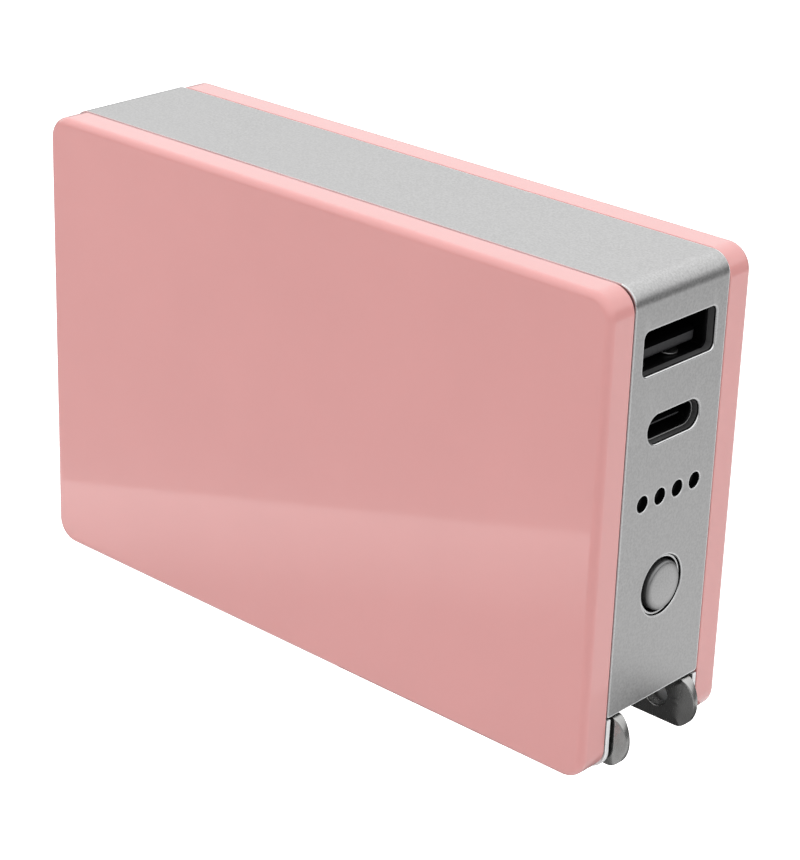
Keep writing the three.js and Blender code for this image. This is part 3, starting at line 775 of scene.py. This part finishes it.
def panel_hole(points):
    """An outline in (y, z) on the end panel, in flat band coordinates."""
    return [(RUN_STARTS[6] + (ARC_TOP - z), y) for y, z in points]


def port_hole(width, height, z, radius, steps):
    return panel_hole(
        round_rect(-width / 2, z - height / 2, width / 2, z + height / 2, radius, steps)
    )


def band_painted_light_index(centre):
    """Material index of the edge strips with painted shade or painted highlight, or None
    elsewhere.
    """
    x, y, z = centre
    # painted shade, index 3: the band's front top edge along the seam
    if y < -BAND_HALF + 0.14 and z > TOP - 0.4 and x < RIGHT - 2.2:
        return 3
    # painted highlight, index 4: the panel's lower edge and the back edges
    if x > RIGHT - 0.16 and PANEL_Z - 0.05 < z < PANEL_Z + 0.14:
        return 4
    if y > BAND_HALF - 0.14 and (x > RIGHT - 0.3 or z > TOP - 0.4):
        return 4
    return None


def make_band():
    usb_c_height = 3.48
    loops = [
        round_rect(0, -BAND_HALF, band_length, BAND_HALF, 0.35, 4),
        port_hole(12.8, 5.15, USB_A_Z, 0.8, 10),
        port_hole(9.3, usb_c_height, USB_C_Z, usb_c_height / 2 - 0.01, 16),
        panel_hole(circle(0, BUTTON_Z, 3.65, 72)),
    ] + [panel_hole(circle(y, z, 0.98, 32)) for y, z, _, _ in LIGHTS]
    # painted shade on the hole walls: near black in the button and light holes; in the port holes
    # near black for 0.36 mm, then dark grey
    walls = {k: [(BAND_T, 1)] for k in range(3, 8)}
    walls[1] = walls[2] = [(0.36, 1), (BAND_T, 2)]
    top_radii = {0: 0.15, 3: 0.12, 4: 0.08, 5: 0.08, 6: 0.08, 7: 0.08}
    mesh = plate(loops, BAND_T, 0.2, 0.08, 5, walls, top_radii)
    for run in (1, 3, 5):
        for i in range(19):
            cut(mesh, ALONG_X, RUN_STARTS[run] + CORNER_LENGTH * i / 18)
    for i in (1, 2, 3):
        cut(mesh, ALONG_X, RUN_STARTS[4] + 20 * i)
    bend(mesh, wrap)
    for face in mesh.faces:
        index = band_painted_light_index(face.calc_center_median())
        if index:
            face.material_index = index
    finishes = ("satin_metal", "black_recess", "cut_wall", "band_cut_edge", "band_bright_edge")
    part("metal_band", mesh, "housing", "satin_metal", 50, "middle_frame", finishes)


make_band()

# sleeves behind the end panel that take the port board's screws
for number, (y, z) in enumerate([(4.7, 27.0), (-5.0, 14.9)], 1):
    x0, x1 = 30.75, RIGHT - BAND_T - 0.02
    mesh = lathe([(0.85, x0), (1.5, x0), (1.5, x1), (0.85, x1)], 32)
    aim_right(mesh, y, z)
    part(f"board_post_{number}", mesh, "housing", "satin_metal", 40)


# ------------------------------------------------------------------ push button
def make_button():
    """Stem, flange behind the panel, straight side, softly rolled edge and domed face."""
    stem_r, flange_r = 1.2, 4.5
    inner_x = BUTTON_LO[0]
    flange_back, flange_front = RIGHT - BAND_T - 0.9, RIGHT - BAND_T - 0.1
    profile = [
        (0, inner_x), (stem_r, inner_x), (stem_r, flange_back), (flange_r, flange_back),
        (flange_r, flange_front), (CAP_R, flange_front), (CAP_R, RIGHT),
    ]
    profile = rounded(profile, {1: 0.15, 3: 0.1, 4: 0.1})
    roll, rise = 0.42, 0.34
    for i in range(1, 13):
        a = math.radians(90 * i / 12)
        profile.append((CAP_R - roll * (1 - math.cos(a)), RIGHT + rise * math.sin(a)))
    mesh = lathe(profile + dome(*profile[-1], BUTTON_HI[0], 14), 96)
    # painted shade: the cap more than 0.7 mm below the panel face is near black
    dark_below = RIGHT - 0.7
    cut(mesh, ALONG_Z, dark_below)
    paint(mesh, lambda centre: centre.z < dark_below)
    aim_right(mesh, 0.0, BUTTON_Z)
    finishes = ("cap_satin", "black_recess")
    part("button_cap", mesh, "button", "satin_metal", 50, "power_button", finishes)


make_button()

# fixed ring between the cap and the panel hole, set just below the panel face
mesh = plate([circle(0, 0, 3.6, 96), circle(0, 0, 3.3, 96)], 0.6, 0.06, 0.06, 2)
aim_right(mesh, 0.0, BUTTON_Z, RIGHT - 0.25)
part("button_bezel", mesh, "housing", "satin_metal", 50)

# ------------------------------------------------------------------ charge lights
for number, (y, z, x0, x1) in enumerate(LIGHTS, 1):
    radius = 0.92
    x1 -= 0.4
    profile = rounded([(0, x0), (radius, x0), (radius, x0 + 1)], {1: 0.1})
    profile += fillet((radius, x1 - 1), (radius, x1 - 0.03), (0, x1), 0.12, 5)
    mesh = lathe(profile + dome(*profile[-1], x1, 5), 40)
    aim_right(mesh, y, z)
    part(f"light_pipe_{number}", mesh, "housing", "dark_lens", 60, f"led_window_{number}")


# ------------------------------------------------------------------ ports
RECEPTACLE_T = 0.3


def receptacle(name, node, outline, x0, x1, lead, finishes):
    """Open shell from an outline function of the inset; lead is the depth of the inner bevel."""
    wall, floor = RECEPTACLE_T, 0.4
    # inset, x: outer wall, rolled lip, inner wall, closed back
    stations = [
        (0.12, x0), (0.0, x0 + 0.12), (0.0, x1 - 0.1), (0.03, x1 - 0.03), (0.1, x1),
        (wall - 0.02 - 0.08, x1), (wall - 0.02, x1 - lead), (wall, x1 - lead - 0.3),
        (wall, x0 + floor + 0.1), (wall + 0.1, x0 + floor),
    ]
    mesh = bmesh.new()
    rings = [[mesh.verts.new((x, y, z)) for y, z in clean(outline(d))] for d, x in stations]
    # painted highlight: with a second material, the rings round the front lip take a lighter grey
    for step, (ring, following) in enumerate(zip(rings, rings[1:])):
        for face in skin(mesh, ring, following):
            face.material_index = 1 if len(finishes) > 1 and step in (3, 4) else 0
    mesh.faces.new(rings[0])
    mesh.faces.new(rings[-1][::-1])
    part(name, mesh, "housing", "nickel", 35, node, finishes)


def shell_outline(low, high, inset, radius, steps):
    return round_rect(
        low[1] + inset, low[2] + inset, high[1] - inset, high[2] - inset, radius, steps
    )


def usb_a_outline(inset):
    return shell_outline(USB_A_LO, USB_A_HI, inset, max(0.62 - inset, 0.12), 6)


def usb_c_outline(inset):
    half = (USB_C_HI[2] - USB_C_LO[2]) / 2 - inset
    return shell_outline(USB_C_LO, USB_C_HI, inset, half - 0.005, 14)


# both receptacles take the near-black port metal as painted shade
receptacle(
    "usb_a_receptacle", "usb_a_shell", usb_a_outline, USB_A_LO[0], USB_A_HI[0] + 0.12,
    lead=0.2, finishes=("port_metal",),
)
receptacle(
    "usb_c_receptacle", "usb_c_shell", usb_c_outline, USB_C_LO[0], USB_C_HI[0],
    lead=0.12, finishes=("port_metal", "rim_metal"),
)
TONGUE_FINISHES = ("black_plastic", "tongue_top")


def make_usb_a_tongue():
    """A flat bar with rounded front corners and edges, on a block at its root."""
    low, high = box_mm("usb_a_tongue")
    bottom_z, top_z = USB_A_Z - 1.74, USB_A_Z - 0.04
    edge = 0.42
    outline = round_rect(32.4, -5.5, high[0], 5.5, 0.9, 8)
    mesh = plate([outline], top_z - bottom_z, edge, edge, 4)
    # painted shade: the top face and upper rounded edge are near black
    cut(mesh, ALONG_Z, -edge)
    paint(mesh, lambda centre: centre.z > -edge)
    bend(mesh, lambda x, y, z: (x, y, top_z + z))
    part("usb_a_tongue_block", mesh, "housing", "black_plastic", 35,
         "usb_a_tongue", TONGUE_FINISHES)

    x0, x1, z0, z1 = low[0], 32.6, USB_A_Z - 2.44, USB_A_Z + 2.44
    half_width = 6.1
    mesh = plate([[(x0, z0), (x1, z0), (x1, z1), (x0, z1)]], 2 * half_width, 0.1, 0.1, 3)
    bend(mesh, lambda x, z, w: (x, half_width + w, z))
    part("usb_a_block_base", mesh, "housing", "black_plastic", 40)


def make_latch_finger(number, y):
    """A finger arched up from the receptacle's lower wall, with a rounded free end."""
    root_x, tip_x, half, thickness = 36.4, 40.35, 1.3, 0.2  # tip_x: centre of the round end
    outline = [(root_x, y - half), (tip_x, y - half)]
    outline += arc(tip_x, y, half, -90, 90, 14)[1:] + [(root_x, y + half)]
    mesh = plate([outline], thickness, 0.05, 0.05, 2)
    for i in range(1, 15):
        cut(mesh, ALONG_X, root_x + i * 0.35)
    floor_z = USB_A_LO[2] + RECEPTACLE_T

    def arch(x, y, z):
        t = max(0.0, min(1.0, (x - root_x) / (tip_x + half - root_x)))
        rise = 0.5 * math.sin(math.pi * t) ** 1.5 + 0.02
        return x, y, floor_z + thickness + rise + z

    bend(mesh, arch)
    part(f"usb_a_latch_finger_{number}", mesh, "housing", "nickel", 40,
         materials=("latch_metal",))


def make_usb_c_tongue():
    """A thin blade with rounded corners on a wider root."""
    low, high = box_mm("usb_c_tongue")
    thickness, root_x = 0.7, 33.6
    mesh = plate([round_rect(33.4, -3.34, high[0], 3.34, 0.45, 6)], thickness, 0.1, 0.1, 3)
    # painted shade: near black above 0.45 mm below the top and over all but the front 0.3 mm
    dark_above, dark_behind = -0.45, high[0] - 0.3
    cut(mesh, ALONG_Z, dark_above)
    paint(mesh, lambda centre: centre.z > dark_above or centre.x < dark_behind)
    bend(mesh, lambda x, y, z: (x, y, USB_C_Z + thickness / 2 + z))
    part("usb_c_tongue_block", mesh, "housing", "black_plastic", 35,
         "usb_c_tongue", TONGUE_FINISHES)

    outline = round_rect(-4.1, -1.21, 4.1, 1.21, 1.2, 12)
    mesh = plate([outline], root_x - low[0], 0.1, 0.1, 2)
    aim_right(mesh, 0.0, USB_C_Z, root_x)
    part("usb_c_block_base", mesh, "housing", "black_plastic", 35)


make_usb_a_tongue()
make_latch_finger(1, y=-4.1)
make_latch_finger(2, y=1.9)
make_usb_c_tongue()
for number in (1, 2, 3, 4):
    refine(f"usb_a_spring_contact_{number}", f"usb_a_contact_{number}", "housing", "gold",
           bevel=0.06, seg=2)

# ------------------------------------------------------------------ plug blades
BLADE_LO, BLADE_HI = box_mm("blade_front")
BLADE_REACH = 20.4  # pivot to tip
BLADE_T = 1.5
PIVOT_X, PIVOT_Z = BLADE_HI[0] - BLADE_REACH, middle(BLADE_LO, BLADE_HI, 2)


def blade_outline():
    """Counter-clockwise round the pivot: lower edge, nose, upper edge, squared root."""
    half = (BLADE_HI[2] - BLADE_LO[2]) / 2
    nose, soft = 3.9, 1.9  # nose arc, and the softer round where it meets the straight edges
    nose_x = BLADE_REACH - nose
    soft_x = nose_x + math.sqrt((nose - soft) ** 2 - (half - soft) ** 2)
    turn = math.degrees(math.atan2(half - soft, soft_x - BLADE_REACH + nose))
    root_angle = 0.5  # radians above and below -X where the root square meets the round
    root_x, root_z = half * math.cos(math.pi - root_angle), half * math.sin(math.pi - root_angle)
    end_x = BLADE_LO[0] - PIVOT_X
    upper, lower = (end_x, root_z), (end_x, -root_z)
    points = [(soft_x - 2.5, -half)]
    points += arc(soft_x, -half + soft, soft, -90, -turn, 9)
    points += arc(nose_x, 0, nose, -turn, turn, 22)
    points += arc(soft_x, half - soft, soft, turn, 90, 9)
    points += [(soft_x - 2.5, half)]
    points += arc(0, 0, half, 90, 180 - math.degrees(root_angle), 10)
    points += fillet((root_x, root_z), upper, lower, 0.4, 4)
    points += fillet(upper, lower, (root_x, -root_z), 0.4, 4)
    points += arc(0, 0, half, 180 + math.degrees(root_angle), 270, 10)
    return points


def make_blade(name, node):
    holes = [circle(BLADE_REACH - 5.3, 0, 1.6, 56), circle(0, 0, 1.4, 48),
             circle(-2.5, 0, 0.65, 20)]
    mesh = plate([blade_outline()] + holes, BLADE_T, 0.13, 0.13, 3)
    taper_length = 1.6
    taper_x = BLADE_REACH - taper_length
    for i in range(7):
        cut(mesh, ALONG_X, taper_x + i * 0.26)

    def taper(x, y, z):
        t = max(0.0, x - taper_x) / taper_length
        return x, y, (z + BLADE_T / 2) * (1 - 0.53 * min(t, 1.0))

    bend(mesh, taper)
    centre_y = middle(*box_mm(node), 1)
    bend(mesh, lambda x, y, z: (PIVOT_X + x, centre_y - z, PIVOT_Z + y))
    part(name, mesh, "plug", "nickel", 35, node)


make_blade("plug_blade_front", "blade_front")
make_blade("plug_blade_back", "blade_back")

# ------------------------------------------------------------------ plug bay and carrier
refine("plug_bay_liner", "plug_bay", "housing", "white_plastic", bevel=0.1, seg=3)
refine("plug_carrier_block", "plug_carrier", "plug", "black_plastic", bevel=0.12, seg=3)

# ------------------------------------------------------------------ the other CAD pieces
slot_of = {s["node"]: s["material_slot"] for s in frame["record"]["subparts"]}
for name, obj in frame["nodes"].items():
    if name in replaced:
        continue
    obj.data.materials.clear()
    obj.data.materials.append(MAT[slot_of[name]])
    thinnest = min(high - low for low, high in zip(*box_mm(name)))
    bevel = obj.modifiers.new("edges", "BEVEL")
    bevel.limit_method = "ANGLE"
    bevel.angle_limit = math.radians(40)
    bevel.width = min(0.12, thinnest * 0.12) * MM
    bevel.segments = 2

# ------------------------------------------------------------------ floor
scene = bpy.context.scene
scene.view_settings.view_transform = "Standard"
scene.view_settings.look = "None"
FLOOR_Z = -30


def make_floor():
    mesh = bmesh.new()
    bmesh.ops.create_grid(mesh, x_segments=24, y_segments=24, size=1.6)  # metres
    data = bpy.data.meshes.new("floor")
    mesh.to_mesh(data)
    mesh.free()
    floor = link(bpy.data.objects.new("floor", data))
    floor.location = (0, 0, FLOOR_Z * MM)
    data.materials.append(floor_paper())
    floor.visible_glossy = False


make_floor()

# ------------------------------------------------------------------ world
FILL = 0.61  # even light on matt surfaces
LOW_FRONT, LOW_BACK, LOW_NEAR = 0.62, 0.89, 0.5  # mirrored from below the horizon
GAP_AWAY, GAP_RIGHT = 0.3, 0.2  # the dark gap at the horizon
UP_AWAY, UP_NEAR = 1.22, 1.05  # the ceiling
CEILING_GAIN = 1.14  # extra towards straight up


def make_world():
    """A white tent: mirrored light depends on direction, matt surfaces get an even fill."""
    world = bpy.data.worlds.new("studio")
    scene.world = world
    world.use_nodes = True
    g = Graph(world.node_tree)
    g.tree.nodes.clear()

    def smooth(value, start, end, low, high):
        return g.remap(value, start, end, low, high, "SMOOTHSTEP")

    def blend(a, b, share):
        """a where share is 1, b where it is 0."""
        return g.calc("ADD", g.calc("MULTIPLY", a, share),
                      g.calc("MULTIPLY", g.calc("SUBTRACT", 1.0, share), b))

    x, y, z = g.split(g.add("TexCoord").outputs["Generated"])
    near = g.calc("MULTIPLY", g.calc("SUBTRACT", x, y), 0.7071)  # towards the camera
    right_back = g.calc("MULTIPLY", g.calc("ADD", x, y), 0.7071)
    low = smooth(near, 0.1, 0.95, smooth(right_back, -0.6, 0.6, LOW_FRONT, LOW_BACK), LOW_NEAR)
    gap = smooth(right_back, 0.2, 0.9, GAP_AWAY, GAP_RIGHT)
    up = g.calc("MULTIPLY", smooth(near, -0.8, -0.1, UP_AWAY, UP_NEAR),
                smooth(z, 0.45, 0.75, 1.0, CEILING_GAIN))
    # the gap reaches lower on the right, and the lit ceiling reaches lower on the far side
    gap_tilt = smooth(right_back, 0.2, 1.0, 0.0, 0.14)
    ceiling_tilt = smooth(right_back, 0.2, 1.0, 0.0, 0.06)
    mirrored = smooth(g.calc("ADD", z, gap_tilt), -0.22, -0.02, low, gap)
    mirrored = smooth(g.calc("SUBTRACT", z, ceiling_tilt), 0.04, 0.3, mirrored, up)
    rays = g.add("LightPath").outputs
    strength = blend(mirrored, FILL, rays["Is Glossy Ray"])
    seen = rays["Is Camera Ray"]  # the camera itself sees plain white
    strength = g.calc("MULTIPLY", strength, g.calc("SUBTRACT", 1.0, seen))
    strength = g.calc("ADD", strength, seen)
    background = g.add("Background", {"Color": (1, 1, 1, 1), "Strength": strength})
    g.add("OutputWorld", {"Surface": background.outputs[0]})


make_world()


# ------------------------------------------------------------------ boards and softboxes
def make_board(name, corners, strength, fade=None):
    """A lit board that only mirrored rays see.

    fade = (point, direction, length): full at the point's line, nothing after length.
    """
    data = bpy.data.meshes.new(name)
    data.from_pydata([tuple(c * MM for c in p) for p in corners], [], [range(len(corners))])
    board = link(bpy.data.objects.new(name, data))
    material = bpy.data.materials.new(name)
    material.use_nodes = True
    g = Graph(material.node_tree)
    g.tree.nodes.clear()
    glow = g.add("Emission", {"Strength": strength})
    surface = glow
    if fade:
        point, direction, length = fade
        position = g.split(g.add("TexCoord").outputs["Object"])
        x, y = (
            g.calc("MULTIPLY", g.calc("SUBTRACT", position[i], point[i] * MM), direction[i])
            for i in (0, 1)
        )
        share = g.calc("DIVIDE", g.calc("ADD", x, y), length * MM)
        share = g.calc("SUBTRACT", 1.0, share, clamp=True)
        g.feed(glow.inputs["Strength"], g.calc("MULTIPLY", share, strength))
        clear = g.add("BsdfTransparent")
        surface = g.add("AddShader", {0: clear.outputs[0], 1: glow.outputs[0]})
    g.add("OutputMaterial", {"Surface": surface.outputs[0]})
    data.materials.append(material)
    for rays in ("camera", "diffuse", "transmission", "volume_scatter", "shadow"):
        setattr(board, "visible_" + rays, False)


def make_softbox(name, offset, size, power):
    """Square light aimed at the body centre; offset from it and size in metres."""
    light = bpy.data.lights.new(name, "AREA")
    light.shape = "RECTANGLE"
    light.size = light.size_y = size
    light.energy = power
    obj = link(bpy.data.objects.new(name, light))
    place = BODY_CENTRE + Vector(offset)
    obj.location = place
    obj.rotation_mode = "QUATERNION"
    obj.rotation_quaternion = (place - BODY_CENTRE).to_track_quat("Z", "Y")
    obj.visible_glossy = False


BODY_CENTRE = Vector(((LEFT + RIGHT) / 2, 0.0, (BOTTOM + TOP) / 2)) * MM

# boards that the blades mirror: dark first, a painted shade standing in for the shaded floor under
# the body, then grey and light towards the tips
BOARD_Z, BOARD_Y = -0.6, -12.4
grey_start, grey_end = (
    [(x + 0.6 * y, y, BOARD_Z) for y in (BOARD_Y, BACK_Y)] for x in (40.3, 48.6)
)
painted_shade_corners = [(5, BOARD_Y, BOARD_Z), *grey_start, (5, BACK_Y, BOARD_Z)]
make_board("painted_shade_board", painted_shade_corners, 0.055)
make_board("grey_board", [grey_start[0], *grey_end, grey_start[1]], 0.2)
make_board("light_board", [grey_end[0], (56, BOARD_Y, BOARD_Z), grey_end[1]], 0.65)

make_softbox("softbox_front_left", (-0.24, -0.33, 0.16), size=0.22, power=0.42)
make_softbox("softbox_right", (0.5, -0.12, 0.34), size=0.3, power=0.85)
make_softbox("softbox_top", (-0.05, 0.02, 0.55), size=0.7, power=2.6)

# board just above the floor, fading from its front left edge towards the body
EDGE_START, EDGE_END = Vector((-106.0, -67.7)), Vector((-41.3, -109.6))
along = (EDGE_END - EDGE_START).normalized()
toward = Vector((-along.y, along.x))
start, end = EDGE_START - along * 60, EDGE_END + along * 25
corners = [start, end, end + toward * 80, start + toward * 80]
make_board(
    "low_board", [(p.x, p.y, FLOOR_Z + 0.5) for p in corners], 1.1,
    fade=(EDGE_START, toward, 32.0),
)

# ------------------------------------------------------------------ camera
CAMERA_OFFSET = Vector((196.905744, -214.966584, 122.160696))  # from the body centre

lens = bpy.data.cameras.new("camera")
lens.sensor_fit = "AUTO"
lens.sensor_width = 36.0
lens.lens = 109.457
lens.clip_start = 0.01
lens.clip_end = 10
camera = link(bpy.data.objects.new("camera", lens))
x, y, z = BODY_CENTRE + CAMERA_OFFSET * MM
camera.matrix_world = Matrix((
    (0.735639, -0.288790, 0.612729, x),
    (0.676653, 0.271576, -0.684388, y),
    (0.031242, 0.918067, 0.395192, z),
    (0, 0, 0, 1),
))
scene.camera = camera
